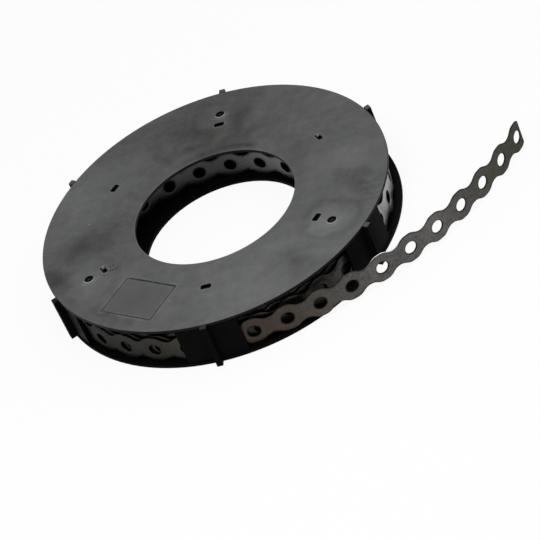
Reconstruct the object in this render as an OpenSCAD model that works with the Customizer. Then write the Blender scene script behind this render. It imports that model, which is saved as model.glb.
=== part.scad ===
// Coil of perforated steel strap with wavy edges, in a round moulded cassette.
// Millimetres. The origin is on the cassette's axis, at the face it lies on, with +Z up.
// The wall panels stand at 30 degrees and every 60 degrees on, so X runs through two windows.

/* [Strap] */
// Width of the strap over the crests of its wavy edges
strap_w = 17; // [15:0.5:20]
// Width of the strap at the waists between its holes
waist_w = 11; // [9:0.5:12]
// Thickness of the steel
strap_t = 0.8; // [0.6:0.1:1]
// Diameter of the holes along the middle of the strap
hole_d = 7; // [5:0.5:8]
// Distance from hole to hole along the strap
hole_pitch = 18.7; // [18:0.1:22]

/* [Coil] */
// Number of turns in the coil
turns = 17; // [8:1:17]
// Radial distance from turn to turn
turn_pitch = 1; // [0.9:0.05:1]
// Number of outer turns that have sprung loose
loose_turns = 2; // [1:1:4]
// Extra radial distance between the loose turns
loose_gap = 0.9; // [0.2:0.1:1.2]
// Clear space between the outer turn and the wall panels
coil_gap = 0.875; // [0.5:0.025:2]
// Bend radius of the sprung inner turn
tail_r = 62.3; // [58:0.1:64]
// Bend radius of the quarter-turn that leads from the coil to it
tail_join_r = 69.8; // [65:0.1:72]
// Length of the sprung inner turn in degrees, less what passes its last hole
tail_sweep = 230; // [150:5:250]

/* [Pulled-out end] */
// Angle at which the strap leaves the coil
exit_angle = -82; // [-84:1:-70]
// Bend radius of the pulled-out end
lead_r = 205; // [180:1:300]
// Distance from the exit to the first free hole
lead_first = 8.6; // [8:0.1:18]
// Number of holes in the pulled-out end
lead_holes = 11; // [8:1:14]
// Steel left past the last hole, at both ends of the strap
tip_len = 4.6; // [4.6:0.2:9]

/* [Cassette] */
// Outer diameter of the two plates
cassette_d = 200; // [195:1:230]
// Diameter of the hand hole in the base
base_bore_d = 96; // [60:1:98]
// Diameter of the hand hole in the cover
cover_bore_d = 93; // [60:1:96]
// Width of the cover's edge round the hand hole that is dished inwards
dish_w = 14; // [8:1:16]
// Depth of that dished edge
dish_depth = 2.4; // [0.5:0.1:3]
// Height over both plates
cassette_h = 27.4; // [24:0.1:40]
// Thickness of the plates
plate_t = 2; // [1.5:0.1:3]
// Bevel on the plates' outer edges
plate_bevel = 0.4; // [0.2:0.1:0.6]

/* [Wall panels] */
// Number of wall panels around the rim
panels = 6; // [4:1:8]
// Width of a panel along the rim
panel_w = 34; // [20:1:40]
// Wall thickness of a panel
panel_t = 1.6; // [1.2:0.1:2.5]
// How far a panel stands back from the plates' edge
panel_setback = 0.8; // [0.5:0.1:2]
// Width of the rib up the middle of a panel
rib_w = 3.3; // [2:0.1:5]
// How far a rib stands proud of the plates' edge
rib_proud = 3; // [2:0.1:5]
// Clear space between the ribs and the cover's edge
rib_gap = 0.2; // [0.1:0.05:0.4]

/* [Cover details] */
// Length of a slot along the rim
slot_len = 5.6; // [4:0.1:8]
// Width of a slot
slot_w = 2.2; // [1.5:0.1:3]
// Distance of the slots from the axis
slot_r = 69.8; // [60:0.1:74]
// Diameter of a gate well at its rim
gate_d = 5.2; // [4:0.1:6]
// Depth of a gate well
gate_depth = 0.9; // [0.5:0.1:1.2]
// Diameter of the nub left in a gate well
gate_nub_d = 1.6; // [1:0.1:2]
// Distance of the gate wells from the axis
gate_r = 79.6; // [78:0.1:86]
// Long side of the label recess, along the rim
label_len = 33; // [20:0.5:36]
// Short side of the label recess
label_w = 25.7; // [16:0.1:28]
// Distance of the label recess's middle from the axis
label_r = 76.5; // [72:0.1:78]
// Depth of the label recess
label_depth = 0.3; // [0.1:0.05:0.5]

/* [Hidden] */
$fn = 144;

// Cassette sizes that follow
rim_r = cassette_d / 2;
cover_z = cassette_h - plate_t;
panel_step = 360 / panels;
panel_first = 30;
panel_angles = [for (i = [0 : panels - 1]) panel_first + i * panel_step];
panel_out_r = rim_r - panel_setback;
panel_in_r = panel_out_r - panel_t;
panel_sweep = panel_w / panel_out_r * 180 / PI;
label_angle = -120;
gates = 3;
gate_first = 90;
gate_angles = [for (i = [0 : gates - 1]) gate_first + i * 360 / gates];
dish_r = cover_bore_d / 2 + dish_w;
// Bend radius of the dished edge's upper side, which falls by its depth over its width
dish_bend_r = (pow(dish_w, 2) + pow(dish_depth, 2)) / (2 * dish_depth);
// How far a cut runs past the face it opens
cut_over = 1;

// Strap sizes that follow
strap_z = plate_t + strap_w / 2;
coil_r = panel_in_r - coil_gap - strap_t / 2;
half_turns = 2 * turns;
lead_len = lead_first + (lead_holes - 1) * hole_pitch + tip_len;
// The crests are round about the holes, cut off flat at the strap's full width
crest_cut = 0.2;
crest_r = strap_w / 2 + crest_cut;
// A trough's circle is a little larger than one that just touches the crests' circles
trough_fit = (pow(hole_pitch / 2, 2) + pow(waist_w / 2, 2) - pow(crest_r, 2)) / (2 * crest_r - waist_w);
trough_over = 1.06;
trough_r = trough_over * trough_fit;
// Below this height the crests' circles lie inside the strap
shoulder_h = 0.75 * crest_r;

function deg(len, r) = len / r * 180 / PI;
function arc(sweep, r) = sweep * r * PI / 180;

// Bend radius of half-turn k, counted inwards from the exit
function half_r(k) = coil_r - k * turn_pitch / 2 - min(k, 2 * loose_turns) * loose_gap / 2;
// Length of strap from the exit to the outer end of half-turn k
half_s = [for (k = 0, s = 0; k <= half_turns; s = s + arc(180, half_r(k)), k = k + 1) s];
// Each half-turn is tangent to the last, so its centre moves along the exit's diameter
half_x = [for (k = 0, x = 0; k <= half_turns;
               x = x + (k % 2 == 0 ? -1 : 1) * (half_r(k) - half_r(k + 1)), k = k + 1) x];

// A run is one round stretch of strap: centre, radius, start angle, sweep, and length at its start.
// Angles and lengths count from the exit, positive towards the tip, and the last run sweeps back.
lead = [[coil_r - lead_r, 0], lead_r, 0, deg(lead_len, lead_r), 0];
coil_runs = [for (k = [0 : half_turns - 1])
             [[half_x[k], 0], half_r(k), k % 2 == 0 ? 180 : 0, 180, -half_s[k + 1]]];
core_r = half_r(half_turns);
join_c = [half_x[half_turns] + core_r - tail_join_r, 0];
join_s = -half_s[half_turns] - arc(90, tail_join_r);
tail_join = [join_c, tail_join_r, -90, 90, join_s];
tail_c = join_c - [0, tail_join_r - tail_r];
// The strap's inner end, as far past its hole as the tip is
last_hole = ceil((join_s - arc(tail_sweep, tail_r) - lead_first) / hole_pitch);
strap_low = lead_first + last_hole * hole_pitch - tip_len;
tail = [tail_c, tail_r, -90, -deg(join_s - strap_low, tail_r), join_s];

// The turns that show are pierced and wavy, and the turns between them are plain
shown_half_turns = 2;
shown_runs = concat([lead], [for (k = [0 : shown_half_turns - 1]) coil_runs[k]], [tail]);
plain_runs = concat([for (k = [shown_half_turns : half_turns - 1]) coil_runs[k]], [tail_join]);
inner_runs = concat(coil_runs, [tail_join]);

function run_low(run) = run[4] + min(arc(run[3], run[1]), 0);
function run_high(run) = run[4] + max(arc(run[3], run[1]), 0);
// The run at length s, with the two end runs going on past the strap's ends
function run_at(s) = s >= 0 ? lead : s < join_s ? tail
                   : [for (run = inner_runs) if (s >= run_low(run) && s < run_high(run)) run][0];

// Puts a shape on the strap at length s: X along the strap, Y up, Z outwards
module at_strap(s) {
    run = run_at(s);
    translate([run[0].x, run[0].y, strap_z])
        rotate(run[2] + deg(s - run[4], run[1]))
            translate([run[1], 0, 0])
                rotate([90, 0, 90])
                    children();
}

// What is cut from an edge between two crests: the trough and the crests' round shoulders
module trough_outline() {
    difference() {
        union() {
            translate([-hole_pitch / 2, shoulder_h])
                square([hole_pitch, crest_r]);
            translate([0, waist_w / 2 + trough_r])
                circle(trough_r);
        }
        for (side = [-1, 1])
            translate([side * hole_pitch / 2, 0])
                circle(crest_r);
    }
}

module plain_run(run) {
    translate([run[0].x, run[0].y, strap_z])
        rotate(run[2])
            rotate_extrude(angle = run[3])
                translate([run[1] - strap_t / 2, -strap_w / 2])
                    square([strap_t, strap_w]);
}

module pierced_run(run) {
    first = ceil((run_low(run) - lead_first) / hole_pitch - 1);
    last = floor((run_high(run) - lead_first) / hole_pitch + 1);
    difference() {
        plain_run(run);
        for (k = [first : last]) {
            s = lead_first + k * hole_pitch;
            if (s > strap_low && s < lead_len)
                at_strap(s)
                    cylinder(d = hole_d, h = 2 * cut_over + strap_t, center = true);
            for (side = [0, 1])
                if (s > strap_low - hole_pitch && s < lead_len)
                    at_strap(s + hole_pitch / 2)
                        mirror([0, side, 0])
                            translate([0, 0, -cut_over - strap_t / 2])
                                linear_extrude(2 * cut_over + strap_t)
                                    trough_outline();
        }
    }
}

// Section of a flat plate from radius r to the rim
module plate_section(r) {
    polygon([[r, 0], [rim_r - plate_bevel, 0], [rim_r, plate_bevel],
             [rim_r, plate_t - plate_bevel], [rim_r - plate_bevel, plate_t], [r, plate_t]]);
}

// Section of the cover's dished edge, which bends down from its flat part to the hand hole
module dish_section() {
    intersection() {
        translate([dish_r, plate_t - dish_bend_r])
            difference() {
                circle(dish_bend_r);
                circle(dish_bend_r - plate_t);
            }
        translate([cover_bore_d / 2, -plate_t - dish_depth])
            square([dish_w, 2 * plate_t + dish_depth]);
    }
}

module wall_panel() {
    rotate_extrude(angle = panel_sweep, start = -panel_sweep / 2)
        translate([panel_in_r, plate_t / 2])
            square([panel_t, cover_z - plate_t / 2]);
}

// A rib backs its panel and rises past the cover's edge
module rib() {
    rib_end = rim_r + rib_proud;
    translate([panel_in_r + panel_t / 2, -rib_w / 2, 0])
        cube([rib_end - panel_in_r - panel_t / 2, rib_w, cover_z]);
    translate([rim_r + rib_gap, -rib_w / 2, 0])
        cube([rib_end - rim_r - rib_gap, rib_w, cassette_h]);
}

module slot() {
    translate([slot_r - slot_w / 2, -slot_len / 2, -cut_over])
        cube([slot_w, slot_len, plate_t + 2 * cut_over]);
}

module gate_well() {
    translate([gate_r, 0, plate_t - gate_depth])
        difference() {
            cylinder(d1 = gate_d - gate_depth, d2 = gate_d, h = gate_depth);
            cylinder(d = gate_nub_d, h = gate_depth / 2);
        }
    translate([gate_r, 0, plate_t])
        cylinder(d = gate_d, h = cut_over);
}

module label_recess() {
    translate([label_r - label_w / 2, -label_len / 2, plate_t - label_depth])
        cube([label_w, label_len, label_depth + cut_over]);
}

module cassette_base() {
    color([0.09, 0.09, 0.1])
        union() {
            rotate_extrude()
                plate_section(base_bore_d / 2);
            for (a = panel_angles)
                rotate(a) {
                    wall_panel();
                    rib();
                }
        }
}

module cassette_cover() {
    color([0.22, 0.22, 0.23])
        translate([0, 0, cover_z])
            difference() {
                rotate_extrude() {
                    plate_section(dish_r);
                    dish_section();
                }
                for (a = panel_angles)
                    rotate(a)
                        slot();
                for (a = gate_angles)
                    rotate(a)
                        gate_well();
                rotate(label_angle)
                    label_recess();
            }
}

module strap() {
    color([0.36, 0.34, 0.32])
        rotate(exit_angle) {
            for (run = shown_runs)
                pierced_run(run);
            for (run = plain_runs)
                plain_run(run);
        }
}

cassette_base();
cassette_cover();
strap();
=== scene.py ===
import math

import bpy
import numpy as np
from mathutils import Matrix, Vector


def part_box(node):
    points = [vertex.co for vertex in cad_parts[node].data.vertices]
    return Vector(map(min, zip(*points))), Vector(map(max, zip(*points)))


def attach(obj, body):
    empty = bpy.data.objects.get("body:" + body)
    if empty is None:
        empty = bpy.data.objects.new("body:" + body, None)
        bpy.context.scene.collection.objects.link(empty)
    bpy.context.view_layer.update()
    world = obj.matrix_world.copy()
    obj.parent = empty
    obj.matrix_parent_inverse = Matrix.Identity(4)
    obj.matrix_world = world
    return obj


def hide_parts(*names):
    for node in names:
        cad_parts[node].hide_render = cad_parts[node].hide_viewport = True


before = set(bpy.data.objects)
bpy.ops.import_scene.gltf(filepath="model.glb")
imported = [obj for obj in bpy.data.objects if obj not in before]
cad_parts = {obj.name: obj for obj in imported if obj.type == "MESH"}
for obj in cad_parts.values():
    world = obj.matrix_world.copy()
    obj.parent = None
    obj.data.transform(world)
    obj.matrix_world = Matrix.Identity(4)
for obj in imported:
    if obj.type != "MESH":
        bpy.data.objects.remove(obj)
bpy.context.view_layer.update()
print("frame loaded:", ", ".join(sorted(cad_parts)))


# a socket by its number, or by its identifier or name
def findSocket(sockets, key):
    if isinstance(key, int):
        return sockets[key]
    return next(s for s in sockets if key in (s.identifier, s.name))


# one shader socket; sums and products of sockets add their own Math nodes
class Wire:
    def __init__(self, tree, socket=None):
        self.tree = tree
        self.socket = socket

    # adds any node: its type, its settings, and the values or links of its sockets
    def node(self, kind, settings=None, sockets=None, out=0):
        made = self.tree.nodes.new(kind)
        for name, value in (settings or {}).items():
            setattr(made, name, value)
        for key, value in (sockets or {}).items():
            socket = findSocket(made.inputs, key)
            if isinstance(value, Wire):
                self.tree.links.new(value.socket, socket)
            else:
                socket.default_value = value
        if out is None:
            return made
        return Wire(self.tree, findSocket(made.outputs, out))

    def maths(self, operation, first, second=0):
        return self.node("ShaderNodeMath", {"operation": operation}, {0: first, 1: second})

    def vectors(self, operation, sockets):
        return self.node("ShaderNodeVectorMath", {"operation": operation}, sockets)

    def __add__(self, other):
        return self.maths("ADD", self, other)

    def __radd__(self, other):
        return self.maths("ADD", other, self)

    def __sub__(self, other):
        return self.maths("SUBTRACT", self, other)

    def __rsub__(self, other):
        return self.maths("SUBTRACT", other, self)

    def __mul__(self, other):
        return self.maths("MULTIPLY", self, other)

    def __rmul__(self, other):
        return self.maths("MULTIPLY", other, self)

    def __truediv__(self, other):
        return self.maths("DIVIDE", self, other)

    def __rtruediv__(self, other):
        return self.maths("DIVIDE", other, self)

    def __pow__(self, other):
        return self.maths("POWER", self, other)

    def unsigned(self):
        return self.maths("ABSOLUTE", self)

    def atLeast(self, low):
        return self.maths("MAXIMUM", self, low)

    # the distance of the place that has this x and the other's y
    def slant(self, y):
        return (self * self + y * y) ** 0.5

    # and its angle
    def bearing(self, y):
        return self.maths("ARCTAN2", y, self)

    # goes smoothly from 0 at the first value to 1 at the second, whichever is larger
    def step(self, first, second):
        return self.node(
            "ShaderNodeMapRange",
            {"interpolation_type": "SMOOTHSTEP"},
            {"Value": self, "From Min": first, "From Max": second},
        )

    # 1 at middle, down to 0 at width to either side
    def band(self, middle, width):
        return 1 - (self - middle).unsigned().step(0, width)

    # goes from 0 to 1 over one range, and back to 0 over the other
    def span(self, rise, fall):
        return self.step(*rise) * (1 - self.step(*fall))

    # this place stretched by scale and turned about Z
    def mapped(self, scale, turn=0):
        return self.node(
            "ShaderNodeMapping",
            None,
            {"Vector": self, "Scale": scale, "Rotation": (0, 0, math.radians(turn))},
        )

    # this place pushed about by a slow noise, so that what is drawn on it has uneven edges
    def warped(self, amount, scale):
        push = self.node("ShaderNodeTexNoise", None, {"Vector": self, "Scale": scale, "Detail": 5}, "Color")
        push = self.vectors("SUBTRACT", {0: push, 1: (0.5, 0.5, 0.5)})
        push = self.vectors("SCALE", {0: push, "Scale": amount})
        return self.vectors("ADD", {0: self, 1: push})

    # this place as seen from a spot on the plate, turned about Z and in units of size
    def local(self, middle, size=(1, 1), turn=0):
        return self.node(
            "ShaderNodeMapping",
            {"vector_type": "TEXTURE"},
            {
                "Vector": self,
                "Location": (*middle, 0),
                "Rotation": (0, 0, math.radians(turn)),
                "Scale": (*size, 1),
            },
        )

    def parts(self):
        made = self.node("ShaderNodeSeparateXYZ", None, {"Vector": self}, None)
        return [Wire(self.tree, part) for part in made.outputs]

    # x and y alone
    def flat(self):
        return self.parts()[:2]

    # 1 in the middle of an oval patch, down to 0 at its edge
    def patch(self, middle, size, turn=0):
        x, y = self.local(middle, size, turn).flat()
        return 1 - x.slant(y).step(0, 1)

    def noise(self, scale, detail=3, rough=0.55, distortion=0):
        sockets = {"Scale": scale, "Detail": detail, "Roughness": rough, "Distortion": distortion}
        return self.node("ShaderNodeTexNoise", None, {"Vector": self, **sockets}, "Fac")

    # where a noise is high: from 0 to 1 over a range of its values
    def blotches(self, settings, share):
        return self.noise(*settings).step(*share)

    # scattered grains: how fine, how large in their cells, and how rare, where 1 is none at all
    def grains(self, scale, size, rarity, dimensions="3D"):
        settings = {"voronoi_dimensions": dimensions}
        made = self.node("ShaderNodeTexVoronoi", settings, {"Vector": self, "Scale": scale}, None)
        colour = Wire(self.tree, made.outputs["Color"])
        chance = self.node("ShaderNodeSeparateColor", None, {"Color": colour})
        away = Wire(self.tree, made.outputs["Distance"])
        return (1 - away.step(*size)) * chance.step(*rarity)

    # this value blends from one colour to another
    def colours(self, first, second):
        ends = {"A_Color": first, "B_Color": second}
        ends = {key: value if isinstance(value, Wire) else (*value, 1) for key, value in ends.items()}
        sockets = {"Factor_Float": self, **ends}
        return self.node("ShaderNodeMix", {"data_type": "RGBA"}, sockets, "Result_Color")


def newPaint(name):
    paint = bpy.data.materials.new(name)
    paint.use_nodes = True
    paint.node_tree.nodes.clear()
    return paint, Wire(paint.node_tree)


# ends a paint with its bump, of a strength and a depth, and its shader
def finishPaint(start, bump, height, sockets):
    strength, depth = bump
    rises = {"Strength": strength, "Distance": depth, "Height": height}
    normal = start.node("ShaderNodeBump", None, rises, "Normal")
    shader = start.node("ShaderNodeBsdfPrincipled", None, {**sockets, "Normal": normal}, "BSDF")
    start.node("ShaderNodeOutputMaterial", None, {"Surface": shader}, None)


# object place, its height, and the distance and angle from the cassette's axis
def polarPlace(start):
    place = start.node("ShaderNodeTexCoord", None, None, "Object")
    x, y, z = place.parts()
    return place, z, x.slant(y), x.bearing(y)


# the spot at a distance and an angle from the cassette's axis
def spotAt(radius, angle):
    return radius * math.cos(math.radians(angle)), radius * math.sin(math.radians(angle))


# the cassette's cover, of grey moulded plastic
coverLook = {
    "dark": (0.046, 0.0455, 0.0445),
    "light": (0.158, 0.164, 0.1635),
    "warm": (0.160, 0.162, 0.1605),
    # the colour of the painted highlights on the lips of the gates, slots and label
    "lipHighlight": (0.30, 0.305, 0.305),
    # the sides' painted shade; the same dark colour also draws the specks and the painted shade line round
    # the label
    "side": (0.006, 0.006, 0.0065),
    # painted shade in the slots and in the wells of the gates
    "pitShade": (0.0015, 0.0015, 0.0015),
    "dust": (0.30, 0.30, 0.29),
    "specular": 0.05,
    "rough": 0.46,
    "bump": (0.14, 0.0004),  # strength and depth
    "tone": 0.49,  # from dark at 0 to light at 1, before the marks
    # a noise is given by its scale, detail, roughness and distortion
    "clouds": (24, 4, 0.55, 0.8),
    "cloudTone": 0.40,
    "cloudHeight": 0.6,
    "cloudRough": 0.22,
    "mottles": (((9, 2, 0.5, 0.6), 0.32), ((62, 5, 0.65, 0.5), 0.42), ((150, 5, 0.65), 0.56)),
    "grain": (1500, 2, 0.5),
    "grainHeight": 0.35,
    "tint": ((55, 2, 0.5), (0.40, 0.60)),  # where the light colour is the warm one
    "smear": (0.022, 38),  # how far the patches are pushed about, and the scale of it
    "sweep": (0.006, 60),  # the same for the flow marks
    "tear": (0.022, 75),  # and for the ragged stain
    "dishRadius": 0.0605,  # the cover bends down from here to the hand hole
    "dishBend": 0.042033,
    "holeRim": (0.0466, 0.0005),  # a painted highlight along the edge of the hand hole
    "rimHighlight": 0.25,
    "sideShadeDepth": (0.00032, 0.00060),  # painted shade: the sides are dark from here down
    "bevelShadeDepth": (0.00008, 0.00025),  # and the outer bevel from here, also painted shade
    "bevelShadeRadius": (0.0992, 0.0996),
    "slots": 6,
    "slotFirst": 30,
    "slotRadius": 0.0698,
    "slotHalf": (0.00170, 0.00288),  # half width and half length of their painted shade, wider than the openings
    "slotCorner": 0.0009,
    "slotBlur": 0.00012,
    # a painted highlight round each slot
    "slotLip": (0.0005, 0.0004),
    "slotLipTone": 0.20,
    "paleSlots": (30, 210),  # the slots with painted light on the wall at one end
    "paleTurn": 30,
    "paintedEndLight": (0.42, 0.42, 0.42),
    "paleAt": (0.0028, 0.0003),
    "paleSpan": ((-0.0007, -0.0004), (0.0011, 0.0012)),
    "paleDepth": (0.0013, 0.0018),
    "unshadedFrom": (0.00105, 0.00112),  # the painted shade of these slots is narrower from here
    "unshadedReach": (0.000016, 0.000020),  # up to this distance, squared
    "gates": ((90, 0.06), (210, 0.08), (330, 0.17)),  # angle, and the strength of the blush about it
    "gateRadius": 0.0796,
    "blushEdge": (0.006, 0.015),
    "blushRing": (0.0165, 0.004),
    # painted highlights on the lips of a gate: distance and half width, the side they are on, and their
    # strength
    "gateLips": (((0.0031, 0.0009), (60, -300), 1), ((0.0051, 0.0008), (60, -200), 0.25)),
    "lipSide": (-0.2, 0.8),
    "lipShare": 0.85,
    # painted shade in the well, and less of it on the nub
    "gateWell": (0.0024, 0.0027),
    "gateNub": (0.0005, 0.0010),
    "nubShare": 0.20,
    "labelAngle": -120,
    "labelRadius": 0.0765,
    "labelHalf": (0.01285, 0.0165),
    "labelEdge": (-0.0004, 0),
    "labelTone": 0.38,
    "labelCalm": 0.6,  # how much less the marks show in it
    "labelLine": (0.0002, 0.0008),
    "labelBreaks": ((170, 2), (0.34, 0.56)),  # the painted shade line is broken where this noise is low
    "labelGaps": 0.55,
    "labelFaint": ((-0.0160, -0.0130), 0.96),  # one side's painted shade line is faint
    # painted highlights outside and inside it: distance and half width, and strength
    "labelLips": (((0.0013, 0.0007), 0.22), ((-0.0010, 0.0006), 0.10)),
    "lineShare": 0.85,
    "scratches": ((12, 420), (71, 520), (128, 470)),  # slant and fineness
    "scratchDraw": (0.03, 1, 1),  # a small scale draws them out
    "scratchShare": (0.70, 0.76),
    "scratchBreaks": ((45, 2), (0.5, 0.62)),
    "scratchTone": 0.13,
    "scratchHeight": 0.5,
    "scratchRough": 0.08,
    "scuffs": ((0.089, -0.021), (0.017, 0.013), -40),  # middle, half sizes and turn of their patch
    "scuffDraw": ((0.12, 1, 1), -18),
    "scuffLines": ((480, 3, 0.6), (0.50, 0.60)),
    "scuffSmear": (0.01, 60),
    "scuffEdge": (0.05, 0.6),
    "scuffTone": 0.14,
    "dustGrains": (150, (0.03, 0.07), (0.93, 0.96)),
    "specks": ((-0.0565, -0.0366), (0.0075, 0.0045), 36),
    "speckGrains": (620, (0.25, 0.45), (0.50, 0.56), "2D"),
    "speckEdge": (0.1, 0.3),
    "speckShare": 0.8,
    "ragged": ((0.080, -0.010), (0.024, 0.012), -40),  # a dark stain with a ragged edge
    "raggedEdge": (0.26, 0.38),
    "raggedTone": 0.09,
    # soft paler and darker patches: middle, half sizes, turn and how much paler
    "stains": (
        ((-0.012, 0.078), (0.085, 0.045), 0, -0.30),
        ((0.000, 0.052), (0.050, 0.016), 0, -0.34),
        ((0.020, -0.075), (0.090, 0.050), 10, 0.20),
        ((0.070, -0.045), (0.030, 0.022), -30, 0.24),
        ((0.049, -0.072), (0.022, 0.014), -30, -0.20),
        ((-0.069, -0.007), (0.034, 0.020), 10, -0.25),
        ((-0.080, -0.011), (0.042, 0.016), 4, -0.19),
        ((-0.093, -0.033), (0.014, 0.022), 20, -0.44),
        ((-0.080, -0.053), (0.018, 0.014), -30, -0.04),
        ((-0.060, -0.074), (0.038, 0.009), -42, -0.26),
        ((-0.038, -0.066), (0.022, 0.022), 0, -0.18),
        ((-0.080, 0.035), (0.026, 0.020), 0, 0.16),
        ((0.011, 0.070), (0.008, 0.020), 5, -0.26),
        ((-0.010, 0.065), (0.014, 0.010), 0, -0.16),
        ((-0.022, 0.069), (0.014, 0.009), -20, -0.12),
        ((0.042, 0.035), (0.012, 0.026), 40, -0.12),
        ((0.085, -0.016), (0.024, 0.013), -40, -0.12),
        ((0.036, -0.050), (0.014, 0.016), 0, 0.12),
        ((0.050, -0.060), (0.012, 0.009), -30, -0.22),
        ((0.078, 0.010), (0.030, 0.024), 0, 0.18),
    ),
    # curved marks: middle, radius, half width, angle and half angle of the arc, and how much paler. The two
    # about the axis are painted light and shade on the dished edge of the hand hole; the two about the gate
    # at 330° are flow marks
    "arcs": (
        ((0, 0), 0.0518, 0.0036, 108, 28, 0.24),
        ((0, 0), 0.0490, 0.0030, 70, 24, -0.24),
        ((0.0689, -0.0398), 0.0250, 0.0045, -112, 60, 0.18),
        ((0.0689, -0.0398), 0.0330, 0.0050, -118, 40, -0.16),
    ),
}


def coverPlastic(look):
    paint, start = newPaint("coverPlastic")
    place, z, radius, angle = polarPlace(start)
    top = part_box("cassette_cover")[1][2]

    # how far a point lies under the upper side, which bends down in a round curve near the hand hole
    inward = (look["dishRadius"] - radius).atLeast(0)
    fall = look["dishBend"] - (look["dishBend"] ** 2 - inward * inward) ** 0.5
    depth = top - fall - z
    # painted shade on the sides and the outer bevel, by depth under the upper side
    bevel = depth.step(*look["bevelShadeDepth"]) * radius.step(*look["bevelShadeRadius"])
    under = depth.step(*look["sideShadeDepth"]).atLeast(bevel)

    # cloudy marks, soft patches, a ragged stain, and curved marks, two of which are painted light and shade
    # on the dished edge of the hand hole
    clouds = place.noise(*look["clouds"]) - 0.5
    tone = look["tone"] + clouds * look["cloudTone"]
    for settings, amount in look["mottles"]:
        tone = tone + (place.noise(*settings) - 0.5) * amount
    smeared = place.warped(*look["smear"])
    for middle, size, turn, amount in look["stains"]:
        tone = tone + smeared.patch(middle, size, turn) * amount
    ragged = place.warped(*look["tear"]).patch(*look["ragged"]).step(*look["raggedEdge"])
    tone = tone - ragged * look["raggedTone"]
    swept = place.warped(*look["sweep"])
    # curved marks; the two about the axis are painted light and shade on the dished edge
    for middle, far, width, turn, spread, amount in look["arcs"]:
        u, v = swept.local(middle, turn=turn).flat()
        arc = u.slant(v).band(far, width) * u.bearing(v).band(0, math.radians(spread))
        tone = tone + arc * amount

    # a blush about each gate with a darker outline, painted shade in the well with its nub less shaded, and
    # painted highlights on the lips of one side
    lip, well = 0, 0
    for gateAngle, blush in look["gates"]:
        gate = spotAt(look["gateRadius"], gateAngle)
        u, v = smeared.local(gate).flat()
        away = u.slant(v)
        tone = tone + (1 - away.step(*look["blushEdge"]) - away.band(*look["blushRing"])) * blush
        u, v = place.local(gate).flat()
        away = u.slant(v)
        for ring, side, strength in look["gateLips"]:
            facing = (u * side[0] + v * side[1]).step(*look["lipSide"])
            lip = away.band(*ring) * facing * strength + lip
        nub = (1 - away.step(*look["gateNub"])) * look["nubShare"]
        well = (1 - away.step(*look["gateWell"])) * (1 - nub) + well

    # painted shade fills the slots and a border round their openings, with round corners; the slots are
    # found by the angle from the nearest one
    aside = angle - math.radians(look["slotFirst"])
    aside = aside.maths("PINGPONG", aside, math.pi / look["slots"])
    u = radius * aside.maths("COSINE", aside) - look["slotRadius"]
    v = radius * aside.maths("SINE", aside)
    across = (u.unsigned() - look["slotHalf"][0] + look["slotCorner"]).atLeast(0)
    along = (v - look["slotHalf"][1] + look["slotCorner"]).atLeast(0)
    edge = across.slant(along) - look["slotCorner"]
    slot = 1 - edge.step(0, look["slotBlur"])
    # a painted highlight round each slot
    lip = lip + edge.band(*look["slotLip"]) * look["slotLipTone"]

    # two of them have a narrower painted shade, and painted light on the wall at one end of each
    slotEnd, unshaded = 0, 0
    for slotAngle in look["paleSlots"]:
        u, v = place.local(spotAt(look["slotRadius"], slotAngle), turn=look["paleTurn"]).flat()
        unshaded = u.step(*look["unshadedFrom"]) * (1 - (u * u + v * v).step(*look["unshadedReach"])) + unshaded
        wall = u.span(*look["paleSpan"]) * (1 - depth.step(*look["paleDepth"]))
        slotEnd = v.band(*look["paleAt"]) * wall + slotEnd

    # the label's recess is smoother, with a thin broken line of painted shade round its step
    labelSpot = spotAt(look["labelRadius"], look["labelAngle"])
    u, v = place.local(labelSpot, turn=look["labelAngle"]).flat()
    edge = (u.unsigned() - look["labelHalf"][0]).atLeast(v.unsigned() - look["labelHalf"][1])
    label = 1 - edge.step(*look["labelEdge"])
    tone = tone + label * (look["labelTone"] - tone) * look["labelCalm"]
    kept = place.blotches(*look["labelBreaks"])
    faintSide, faintShare = look["labelFaint"]
    line = edge.band(*look["labelLine"]) * (1 - (1 - kept) * look["labelGaps"])
    line = line * (1 - (1 - v.step(*faintSide)) * faintShare)
    (outerLip, outerTone), (innerLip, innerTone) = look["labelLips"]
    lip = lip + edge.band(*outerLip) * kept * outerTone + edge.band(*innerLip) * innerTone

    # hair scratches at three slants, broken up by a slow noise, and a patch of scuffs
    scratches = 0
    for turn, fineness in look["scratches"]:
        lines = place.mapped(look["scratchDraw"], turn).blotches((fineness, 2, 0.5), look["scratchShare"])
        breaks = place.mapped((1, 1, 1), turn).blotches(*look["scratchBreaks"])
        scratches = lines * breaks + scratches
    scuffs = place.mapped(*look["scuffDraw"]).blotches(*look["scuffLines"])
    scuffs = scuffs * place.warped(*look["scuffSmear"]).patch(*look["scuffs"]).step(*look["scuffEdge"])

    # a little pale dust, and a trail of dark specks
    dust = place.grains(*look["dustGrains"])
    specks = place.grains(*look["speckGrains"]) * place.patch(*look["specks"]).step(*look["speckEdge"])

    # a painted highlight along the edge of the hand hole
    rim = radius.band(*look["holeRim"])
    tone = tone + scratches * look["scratchTone"] + scuffs * look["scuffTone"] + rim * look["rimHighlight"]
    tint = place.blotches(*look["tint"])
    face = tone.colours(look["dark"], tint.colours(look["light"], look["warm"]))
    # the painted highlights of the gates, slots and label
    face = (lip * look["lipShare"]).colours(face, look["lipHighlight"])
    # the painted shade line round the label, and the dark specks
    face = (line * look["lineShare"] + specks * look["speckShare"]).colours(face, look["side"])
    face = dust.colours(face, look["dust"])
    # the sides and the outer bevel take their painted shade
    colour = under.colours(face, look["side"])
    # painted shade in the slots and the gate wells
    colour = (slot * (1 - unshaded) + well).colours(colour, look["pitShade"])
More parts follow.
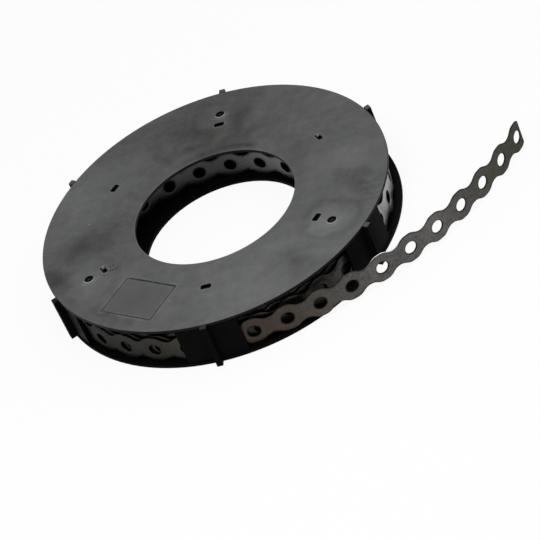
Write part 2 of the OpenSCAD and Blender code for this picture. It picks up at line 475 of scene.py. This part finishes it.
    # painted light on the wall at one end of those two slots
    colour = slotEnd.colours(colour, look["paintedEndLight"])
    height = place.noise(*look["grain"]) * look["grainHeight"] + clouds * look["cloudHeight"]
    finishPaint(start, look["bump"], height - scratches * look["scratchHeight"], {
        "Base Color": colour,
        "Roughness": look["rough"] + clouds * look["cloudRough"] - scratches * look["scratchRough"],
        "Specular IOR Level": look["specular"],
    })
    return paint


# its base, of the same plastic, painted nearly black to stand for the shade on its walls, with painted
# light on its rib tops and right side
baseLook = {
    # painted shade: these nearly black tones stand for the shade on the walls
    "dark": (0.0012, 0.0012, 0.0013),
    "light": (0.0042, 0.0042, 0.0045),
    "specular": 0.015,
    "rough": 0.5,
    "bump": (0.16, 0.0004),
    "tone": 0.45,
    "clouds": (38, 4, 0.6, 0.8),
    "cloudTone": 1.2,
    "drawn": (300, 3, 0.6),  # lines drawn down the walls
    "drawnScale": (1, 1, 0.08),
    "drawnTone": 0.8,
    "drawnHeight": 0.5,
    "drawnRough": 0.25,
    "grain": (1300, 2, 0.5),
    "grainHeight": 0.4,
    "ribTopLight": (0.080, 0.082, 0.083),
    "ribDepth": (0.0006, 0.0002),  # how far under their tops the ribs get painted light
    "darkRibs": ((-150, 0.9), (-90, 0.65)),  # ribs whose tops get less painted light: angle and how much less
    "ribSpread": 0.1,
    "sideLight": (0.0078, 0.0079, 0.0082),  # painted light on the greyer right side
    "sideLightAt": (-4, 46),  # its angle and how far to either side
    "sideLightRadius": (0.096, 0.0975),
}


def basePlastic(look):
    paint, start = newPaint("basePlastic")
    place, z, radius, angle = polarPlace(start)
    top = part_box("cassette_base")[1][2]
    clouds = place.noise(*look["clouds"]) - 0.5
    drawn = place.mapped(look["drawnScale"]).noise(*look["drawn"]) - 0.5
    tone = clouds * look["cloudTone"] + drawn * look["drawnTone"] + look["tone"]
    # painted light on the rib tops, less on two of them
    ribTopLight = z.step(*(top - under for under in look["ribDepth"]))
    for ribAngle, amount in look["darkRibs"]:
        ribTopLight = ribTopLight * (1 - angle.band(math.radians(ribAngle), look["ribSpread"]) * amount)
    # painted light on the right side
    sideLight = angle.band(*map(math.radians, look["sideLightAt"])) * radius.step(*look["sideLightRadius"])
    colour = sideLight.colours(tone.colours(look["dark"], look["light"]), look["sideLight"])
    colour = ribTopLight.colours(colour, look["ribTopLight"])
    height = place.noise(*look["grain"]) * look["grainHeight"] + drawn * look["drawnHeight"]
    finishPaint(start, look["bump"], height, {
        "Base Color": colour,
        "Roughness": look["rough"] + drawn * look["drawnRough"],
        "Specular IOR Level": look["specular"],
    })
    return paint


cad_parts["cassette_cover"].material_slots[0].material = coverPlastic(coverLook)
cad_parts["cassette_base"].material_slots[0].material = basePlastic(baseLook)
print("cassette painted")


# the strap: one band, coiled, with its outer end pulled out and its inner end sprung inwards
strapBand = {
    "width": 0.017,  # over the crests
    "waist": 0.011,  # between the holes
    "thick": 0.0008,
    "hole": 0.007,
    "pitch": 0.0187,
    "crestOver": 0.0002,  # how far the crests' circles pass the flats at full width
    "bevel": 0.00012,
    "turns": 17,
    "turnPitch": 0.001,
    "looseTurns": 2,
    "looseGap": 0.0009,
    "coilRadius": 0.096325,
    "exitAngle": -82,
    "leadRadius": 0.205,
    "firstHole": 0.0086,
    "leadHoles": 11,
    "tip": 0.0046,  # steel past the last hole, at both ends
    "joinRadius": 0.0698,
    "tailRadius": 0.0623,
    "tailSweep": 230,
    "fineSteps": 16,  # points along a crest where the strap shows
    "fineRings": 3,  # rings of faces from a hole to the edge there
    "plainSteps": 4,  # and where it is hidden
    "plainRings": 1,
    "sideSteps": 4,
    "sharpAngle": 50,
}


# Every run of the strap is an arc, and each half-turn is tangent to the next, so its centre steps
# to and fro along the exit's diameter as the radius falls. The rows are centre x, centre y, radius,
# and the angle and the length of strap at the run's inner end, from the inmost run to the outmost.
def strapRuns(size):
    k = np.arange(2 * size["turns"] + 1)
    radius = size["coilRadius"] - k * size["turnPitch"] / 2
    radius = radius - np.minimum(k, 2 * size["looseTurns"]) * size["looseGap"] / 2
    moves = np.where(k[:-1] % 2 == 0, 1, -1) * np.diff(radius)
    centre = np.concatenate([[0], np.cumsum(moves)])
    outerEnd = np.concatenate([[0], -np.cumsum(np.pi * radius[:-1])])
    coil = np.stack([
        centre[:-1], 0 * centre[:-1], radius[:-1], np.where(k[:-1] % 2 == 0, np.pi, 0), outerEnd[1:],
    ], 1)
    lead = [size["coilRadius"] - size["leadRadius"], 0, size["leadRadius"], 0, 0]
    joinX = centre[-1] + radius[-1] - size["joinRadius"]
    joinEnd = outerEnd[-1] - np.pi / 2 * size["joinRadius"]
    join = [joinX, 0, size["joinRadius"], -np.pi / 2, joinEnd]
    sweep = math.radians(size["tailSweep"])
    tail = [
        joinX, size["tailRadius"] - size["joinRadius"], size["tailRadius"],
        -np.pi / 2 - sweep, joinEnd - sweep * size["tailRadius"],
    ]
    return np.array([tail, join, *coil[::-1], lead])


# Half the strap's width at distance x from a hole: the crest's circle about the hole, cut flat at
# the full width, up to where it touches the trough's circle, and that circle from there on.
def strapEdge(size, x):
    half = size["pitch"] / 2
    crest = size["width"] / 2 + size["crestOver"]
    waist = size["waist"] / 2
    trough = (half ** 2 + waist ** 2 - crest ** 2) / (2 * crest - size["waist"])
    touch = half * crest / (crest + trough)
    x = np.abs(x)
    top = np.minimum(np.sqrt(np.maximum(crest ** 2 - x ** 2, 0)), size["width"] / 2)
    low = waist + trough - np.sqrt(np.maximum(trough ** 2 - (half - x) ** 2, 0))
    return np.where(x < touch, top, low)


# One stretch of strap round a hole, as rings of points from the hole's wall over the outer face to
# the wavy edges, and back over the inner face. Columns are x along, y up and z outwards.
# Returns the points, how much each is on an edge, the quads and the two end faces.
def strapCell(size, low, high, steps, rings):
    sides = size["sideSteps"]
    bevel = size["bevel"]
    top = np.linspace(high, low, steps + 1)
    nudge = 1e-6
    slope = (strapEdge(size, top + nudge) - strapEdge(size, top - nudge)) / (2 * nudge)
    slope[[0, -1]] = 0
    lean = np.sqrt(1 + slope ** 2)
    edge = np.stack([top, strapEdge(size, top)], 1)
    inset = edge + bevel * np.stack([slope, -np.ones_like(slope)], 1) / lean[:, None]
    flip = np.array([1, -1])
    share = np.linspace(-1, 1, sides + 1)[:, None]
    right = np.where([True, False], inset[0], inset[0] * share)
    left = np.where([True, False], inset[-1], -inset[-1] * share)
    inner = np.concatenate([right, inset[1:], left[1:], (inset * flip)[::-1][1:-1]])
    outer = np.concatenate([right, edge[1:], left[1:], (edge * flip)[::-1][1:-1]])
    outer[[0, sides, sides + steps, 2 * sides + steps]] = np.stack([
        edge[0] * flip, edge[0], edge[-1], edge[-1] * flip,
    ])
    turn = np.arctan2(inner[:, 1], inner[:, 0])
    spokes = np.stack([np.cos(turn), np.sin(turn)], 1)
    wall = size["hole"] / 2 * spokes
    lip = (size["hole"] / 2 + bevel) * spokes
    shares = np.linspace(0, 1, rings + 1)[:, None, None]
    face = lip * (1 - shares) + inner * shares
    heights = np.full(rings + 3, size["thick"] / 2)
    heights[[0, -1]] -= bevel
    front = np.concatenate([[wall], face, [outer]])
    front = np.concatenate([front, np.broadcast_to(heights[:, None, None], (*front.shape[:2], 1))], 2)
    back = front[::-1] * [1, 1, -1]
    points = np.concatenate([front, back])

    loops, around = points.shape[:2]
    m, i = np.meshgrid(np.arange(loops), np.arange(around), indexing="ij")
    ringNo = np.minimum(m, loops - 1 - m)
    onWave = ((i >= sides) & (i <= sides + steps)) | (i >= 2 * sides + steps) | (i == 0)
    marks = np.where(ringNo < 2, 1.0, np.where(ringNo > rings, onWave, 0.0))
    nextM, nextI = (m + 1) % loops, (i + 1) % around
    quads = np.stack([m * around + i, nextM * around + i, nextM * around + nextI, m * around + nextI], 2)
    onEdge = ((i >= sides) & (i < sides + steps)) | (i >= 2 * sides + steps)
    rim = np.abs(m - (loops // 2 - 1)) <= 1
    quads = quads[~rim | onEdge]

    # the end faces go round the inner side's points, then the outer side's
    f, b = (rings + 1) * around, (loops - rings - 2) * around
    fEdge, bEdge = f + around, b - around
    up = np.arange(sides + 1)
    down = up + sides + steps
    highFace = [*(b + up), bEdge + sides, fEdge + sides, *(f + up)[::-1], fEdge, bEdge]
    lowFace = [
        *(b + down), bEdge + down[-1], fEdge + down[-1],
        *(f + down)[::-1], fEdge + down[0], bEdge + down[0],
    ]
    return points.reshape(-1, 3), marks.reshape(-1), quads, highFace, lowFace


# Carries points along the strap: x runs along the arcs, y is up and z is added to the radius.
def bendStrap(size, runs, middle, points):
    row = np.clip(np.searchsorted(runs[:, -1], points[:, 0], side="right") - 1, 0, None)
    centreX, centreY, radius, angle, start = runs[row].T
    turn = angle + (points[:, 0] - start) / radius
    far = radius + points[:, 2]
    x = centreX + far * np.cos(turn)
    y = centreY + far * np.sin(turn)
    exitTurn = math.radians(size["exitAngle"])
    return np.stack([
        x * math.cos(exitTurn) - y * math.sin(exitTurn),
        x * math.sin(exitTurn) + y * math.cos(exitTurn),
        middle + points[:, 1],
    ], 1)


# Lays a stretch at every hole, joins them, and bends the whole along the runs.
def strapMesh(size):
    runs = strapRuns(size)
    ends = runs[:, -1]
    lowest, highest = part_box("strap")
    middle = (lowest[2] + highest[2]) / 2
    half, tip = size["pitch"] / 2, size["tip"]
    first = math.ceil((ends[0] - size["firstHole"]) / size["pitch"])
    holes = size["firstHole"] + size["pitch"] * np.arange(first, size["leadHoles"])
    looseEnd = ends[-1 - 2 * size["looseTurns"]]
    shown = (holes > looseEnd - size["pitch"]) | (holes < ends[2])
    fine = (size["fineSteps"], size["fineRings"])
    plain = (size["plainSteps"], size["plainRings"])
    batches = [
        (holes[:1], -tip, half, fine, "low"),
        (holes[1:-1][shown[1:-1]], -half, half, fine, ""),
        (holes[1:-1][~shown[1:-1]], -half, half, plain, ""),
        (holes[-1:], -half, tip, fine, "high"),
    ]
    places, edges, faces, count = [], [], [], 0
    for middles, low, high, fineness, end in batches:
        points, marks, quads, highFace, lowFace = strapCell(size, low, high, *fineness)
        laid = np.repeat(points[None], len(middles), 0)
        laid[:, :, 0] += middles[:, None]
        offsets = count + len(points) * np.arange(len(middles))
        faces += (quads[None] + offsets[:, None, None]).reshape(-1, 4).tolist()
        if end:
            cap = np.array(highFace if end == "high" else lowFace)
            faces.append((cap + count).tolist())
        places.append(laid.reshape(-1, 3))
        edges.append(np.tile(marks, len(middles)))
        count += laid.shape[0] * laid.shape[1]
    places = np.concatenate(places)

    # neighbours share the points on their common line, and points that no face uses drop out
    snapped = np.round(places / 1e-7).astype(np.int64)
    firsts, owner = np.unique(snapped, axis=0, return_index=True, return_inverse=True)[1:]
    owner = owner.reshape(-1)
    faces = [owner[face] for face in faces]
    used, owner = np.unique(np.concatenate(faces), return_inverse=True)
    starts = np.cumsum([0] + [len(face) for face in faces])
    faces = [owner[a:b].tolist() for a, b in zip(starts[:-1], starts[1:])]
    places = places[firsts[used]]
    edges = np.concatenate(edges)[firsts[used]]

    mesh = bpy.data.meshes.new("strapBand")
    mesh.from_pydata(bendStrap(size, runs, middle, places).tolist(), [], faces)
    attribute = mesh.attributes.new("strapPlace", "FLOAT_VECTOR", "POINT")
    attribute.data.foreach_set("vector", places.astype(np.float32).ravel())
    attribute = mesh.attributes.new("strapEdge", "FLOAT", "POINT")
    attribute.data.foreach_set("value", edges.astype(np.float32))
    mesh.polygons.foreach_set("use_smooth", np.ones(len(mesh.polygons), bool))
    mesh.set_sharp_from_angle(angle=math.radians(size["sharpAngle"]))
    mesh.update()
    return mesh


# Places along the strap count from the exit, positive towards the tip. "At" gives a middle and how
# far a mark goes to either side, "Span" where it rises and where it falls, and "From" where it rises.
steelLook = {
    "dark": (0.048, 0.045, 0.042),
    "light": (0.138, 0.133, 0.127),
    "brown": (0.046, 0.032, 0.023),
    "olive": (0.057, 0.057, 0.042),
    "tailSteel": (0.086, 0.088, 0.095),  # the sprung inner turn is cooler
    # a painted sheen where light falls on the outer turn in the right window, and a little on the inner
    # turn
    "paintedSheen": (0.58, 0.57, 0.56),
    "bright": (0.85, 0.85, 0.84),
    "shade": (0.003, 0.003, 0.003),
    # painted shade on the sheared edges, less of it on the coil
    "cut": (0.010, 0.009, 0.008),
    "coilCut": (0.031, 0.029, 0.024),
    "rough": 0.38,
    "metal": 0.9,
    "bump": (0.12, 0.0002),
    "edgeTint": (0.55, 0.55, 0.55, 1),  # the oily steel shines less at a glancing angle
    "rolled": (1800, 3, 0.6),  # rolling lines
    "rolledScale": (0.04, 1, 1),
    "rolledTone": 0.7,
    "rolledHeight": 0.6,
    "rolledRough": 0.12,
    "stains": (70, 4, 0.6, 0.6),
    "stainTone": 1.1,
    "stainRough": 0.2,
    "grain": (620, 3, 0.6),
    "grainTone": 1.5,
    "pits": (900, 2),
    "pitHeight": 0.4,
    "coiledFrom": (0, -0.03),
    "brownSpan": ((-0.06, -0.02), (0.01, 0.09)),
    "brownShare": 0.85,
    "oliveFrom": (0.122, 0.172),
    "oliveGrain": (1.5, -1.4),  # the olive of the tip, and how the grain changes it
    "oliveSpan": ((-0.3, -0.2), (-0.05, -0.02)),
    "oliveShare": 0.5,
    "tailShare": 0.7,
    "paintedSheenAt": (-0.470, 0.075),
    "paintedSheenStains": (0.30, 0.60),
    "paintedSheenShare": 0.82,
    "leadPaleAt": (0.118, 0.032),  # a paler stretch of the pulled-out end
    "leadPale": 0.14,
    "tailPaleAt": (-9.500, 0.055),  # and of the inner turn, where its painted shade is lifted and a painted sheen added
    "tailSheen": 0.10,
    "tailLift": 0.5,
    "tipDarkFrom": (0.16, 0.20),
    "tipDark": 0.2,
    "exitPaleAt": (-0.522, 0.035),  # painted light on the outer turn behind the exit
    "exitPale": 0.55,
    "windowDarkAt": (-0.090, 0.034),  # and painted shade in the window left of the exit
    "windowDark": 0.14,
    "outerFrom": (-0.01, -0.05),
    "outerTone": 0.36,  # painted shade: the tone of the outer turn, against the pulled-out end
    "hiddenFrom": (0.09, 0.03),  # ahead of the outer turn's inner end
    "coilTone": 0.24,  # painted shade of the hidden turns
    "tailTone": 0.46,  # painted shade of the inner turn
    "fade": 0.30,  # painted shade and light: how much the coil's lower edges are darker than its middle, and its upper ones paler
    "lowFrom": (0.0005, -0.0080),  # heights between which the painted sheen and the inner turn darken towards their lower edge, as painted shade
    "tailLow": 0.45,
    "paintedSheenLow": 0.35,
    "shearedFrom": (0.3, 1.2),  # in bevels under the faces
    "shearedShare": 0.8,
    "lined": (0.60, 0.96),  # the painted shade line inside the edges
    "linedTones": (0.3, 0.34, 0.34),  # on the coil, and added on the pulled-out end and its lower edge
    "leadFrom": (-0.02, 0),
    "lowerFrom": (0.003, -0.003),
    "brightAt": (0.086, 0.012),  # a crest whose upper edge gets a painted highlight
    "brightUp": (0.004, 0.005),
    "glintAt": (-136, 32),  # the coil's upper edges get a faint painted highlight round this angle
    "glintUp": (0.003, 0.0045),
    "glintShare": 0.24,
}


def strapSteel(look, size):
    paint, start = newPaint("strapSteel")
    place = start.node("ShaderNodeAttribute", {"attribute_name": "strapPlace"}, None, "Vector")
    along, up, out = place.parts()
    tailEnd, coilEnd, turnEnd = strapRuns(size)[[1, 2, -3], -1]
    coiled = along.step(*look["coiledFrom"])
    inmost = along.step(coilEnd, tailEnd)
    tailPale = along.band(*look["tailPaleAt"])

    # rolling lines run along the strap, over a fine grain and slower stains
    rolled = place.mapped(look["rolledScale"]).noise(*look["rolled"]) - 0.5
    stains = place.noise(*look["stains"])
    grain = place.noise(*look["grain"])
    tone = 0.5 + (stains - 0.5) * look["stainTone"] + rolled * look["rolledTone"]
    tone = tone + (grain - 0.5) * look["grainTone"] + along.band(*look["leadPaleAt"]) * look["leadPale"]
    steel = tone.colours(look["dark"], look["light"])

    # brown near the exit, olive at the tip and in the next window, and a painted sheen in one place
    brown = along.span(*look["brownSpan"]) * look["brownShare"]
    tipOlive, grainOlive = look["oliveGrain"]
    olive = along.step(*look["oliveFrom"]) * (tipOlive + grain * grainOlive)
    olive = olive + along.span(*look["oliveSpan"]) * look["oliveShare"]
    # a painted sheen on the outer turn in the right window, and a little on the inner turn's paler stretch
    paintedSheen = along.band(*look["paintedSheenAt"]) * (0.5 + stains.step(*look["paintedSheenStains"]) * 0.5)
    paintedSheen = paintedSheen * look["paintedSheenShare"] + tailPale * look["tailSheen"]
    steel = brown.colours(steel, look["brown"])
    steel = olive.colours(steel, look["olive"])
    steel = (inmost * look["tailShare"]).colours(steel, look["tailSteel"])
    steel = paintedSheen.colours(steel, look["paintedSheen"])

    # painted shade: the turns inside the coil are darker, most of all at their lower edges, with painted
    # light behind the exit and on a stretch of the inner turn
    lit = 1 - along.step(*look["outerFrom"]) * (1 - look["outerTone"]) * (1 - paintedSheen)
    hidden = along.step(*(turnEnd + ahead for ahead in look["hiddenFrom"]))
    lit = lit - hidden * (look["outerTone"] - look["coilTone"])
    lit = lit + inmost * (look["tailTone"] - look["coilTone"]) + tailPale * look["tailLift"]
    lit = lit + along.band(*look["exitPaleAt"]) * look["exitPale"]
    lit = lit - along.band(*look["windowDarkAt"]) * look["windowDark"]
    lit = lit - along.step(*look["tipDarkFrom"]) * look["tipDark"]
    # painted shade and light by height on the coil
    fade = 1 + up / (size["width"] / 2) * coiled * look["fade"]
    low = inmost * (1 - tailPale) * look["tailLow"] + paintedSheen * look["paintedSheenLow"]
    low = low * up.step(*look["lowFrom"])
    steel = (lit * fade * (1 - low)).colours(look["shade"], steel)

    # painted shade makes the sheared edges nearly black, apart from upper ones with painted highlights in
    # two places
    faces = (size["thick"] / 2 - size["bevel"] * share for share in look["shearedFrom"])
    sheared = out.unsigned().step(*faces)
    edge = start.node("ShaderNodeAttribute", {"attribute_name": "strapEdge"}, None, "Fac")
    lower = up.step(*look["lowerFrom"])
    coilLine, leadLine, lowerLine = look["linedTones"]
    lined = coilLine + along.step(*look["leadFrom"]) * (leadLine + lower * lowerLine)
    lined = edge.step(*look["lined"]) * lined
    cut = coiled.colours(look["cut"], look["coilCut"])
    colour = (sheared * look["shearedShare"]).atLeast(lined).colours(steel, cut)
    x, y = start.node("ShaderNodeTexCoord", None, None, "Object").flat()
    # painted highlights on upper sheared edges
    glint = x.bearing(y).band(*map(math.radians, look["glintAt"])) * coiled * up.step(*look["glintUp"])
    bright = along.band(*look["brightAt"]) * up.step(*look["brightUp"]) + glint * look["glintShare"]
    colour = (sheared * bright).colours(colour, look["bright"])
    height = rolled * look["rolledHeight"] + place.noise(*look["pits"]) * look["pitHeight"]
    finishPaint(start, look["bump"], height, {
        "Base Color": colour,
        "Roughness": look["rough"] + (stains - 0.5) * look["stainRough"] + rolled * look["rolledRough"],
        "Metallic": look["metal"],
        "Specular Tint": look["edgeTint"],
    })
    return paint


strap = bpy.data.objects.new("strapBand", strapMesh(strapBand))
bpy.context.scene.collection.objects.link(strap)
strap.data.materials.append(strapSteel(steelLook, strapBand))
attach(strap, "root")
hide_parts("strap")
print("strap made:", len(strap.data.polygons), "faces")


# a pale floor that looks white and keeps a soft shadow
floorLook = {"colour": (0.95, 0.95, 0.95), "half": 3.0, "drop": 0.0002, "glow": 0.91}


# 1 for what is seen straight, in a reflection or through glass
def seenRays(start):
    ray = start.node("ShaderNodeLightPath", None, None, None).outputs
    kinds = ("Is Camera Ray", "Is Glossy Ray", "Is Transmission Ray")
    return sum(Wire(start.tree, ray[kind]) for kind in kinds)


def paleFloor(look):
    paint, start = newPaint("paleFloor")
    matt = start.node("ShaderNodeBsdfDiffuse", None, {"Color": (*look["colour"], 1)})
    white = start.node("ShaderNodeEmission", None, {"Color": (1, 1, 1, 1), "Strength": 1})
    share = seenRays(start) * look["glow"]
    mixed = start.node("ShaderNodeMixShader", None, {0: share, 1: matt, 2: white})
    start.node("ShaderNodeOutputMaterial", None, {"Surface": mixed}, None)

    mesh = bpy.data.meshes.new("floor")
    corners = np.array([(-1, -1, 0), (1, -1, 0), (1, 1, 0), (-1, 1, 0)]) * look["half"]
    corners[:, 2] = -look["drop"]
    mesh.from_pydata(corners.tolist(), [], [(0, 1, 2, 3)])
    mesh.materials.append(paint)
    floor = bpy.data.objects.new("floor", mesh)
    bpy.context.scene.collection.objects.link(floor)


# the world is white to the camera and in reflections, and gives a plain light all round
worldLook = {"light": 0.45}


def paleWorld(look):
    world = bpy.data.worlds.new("paleWorld")
    world.use_nodes = True
    world.node_tree.nodes.clear()
    start = Wire(world.node_tree)
    seen = seenRays(start)
    strength = look["light"] + seen.maths("MINIMUM", seen, 1) * (1 - look["light"])
    sky = start.node("ShaderNodeBackground", None, {"Color": (1, 1, 1, 1), "Strength": strength})
    start.node("ShaderNodeOutputWorld", None, {"Surface": sky}, None)
    bpy.context.scene.world = world


lamps = {
    "key": {"from": (0.05, -0.30, 0.62), "size": 0.3, "watts": 1.9},
    "fill": {"from": (0.75, 0.35, 1.05), "size": 0.9, "watts": 3.0},
}


def softLamp(name, look):
    data = bpy.data.lights.new(name, "AREA")
    data.size = look["size"]
    data.energy = look["watts"]
    lamp = bpy.data.objects.new(name, data)
    lamp.location = look["from"]
    lamp.rotation_euler = Vector(look["from"]).to_track_quat("Z", "Y").to_euler()
    bpy.context.scene.collection.objects.link(lamp)


paleFloor(floorLook)
paleWorld(worldLook)
for lampName, lampLook in lamps.items():
    softLamp(lampName, lampLook)
print("floor, world and lamps set")

# the camera's own place: azimuth from -Y towards +X, and a roll about its own axis
cameraView = {
    "target": (0.03555, -0.06894, 0.02728),
    "distance": 1.30812,
    "azimuth": 17.466,
    "elevation": 37.387,
    "roll": -24.398,
    "lens": 167.5,
}


def photoCamera(view):
    azimuth, elevation, roll = (math.radians(view[name]) for name in ("azimuth", "elevation", "roll"))
    level = Vector((math.cos(azimuth), math.sin(azimuth), 0))
    ahead = Vector((math.sin(azimuth), -math.cos(azimuth), 0))
    back = ahead * math.cos(elevation) + Vector((0, 0, math.sin(elevation)))
    rise = back.cross(level)
    right = level * math.cos(roll) + rise * math.sin(roll)
    up = rise * math.cos(roll) - level * math.sin(roll)
    data = bpy.data.cameras.new("photoCamera")
    data.lens = view["lens"]
    camera = bpy.data.objects.new("photoCamera", data)
    place = Matrix((right, up, back)).transposed().to_4x4()
    place.translation = Vector(view["target"]) + back * view["distance"]
    camera.matrix_world = place
    bpy.context.scene.collection.objects.link(camera)
    bpy.context.scene.camera = camera


photoCamera(cameraView)
bpy.context.scene.view_settings.view_transform = "Standard"
print("camera set")
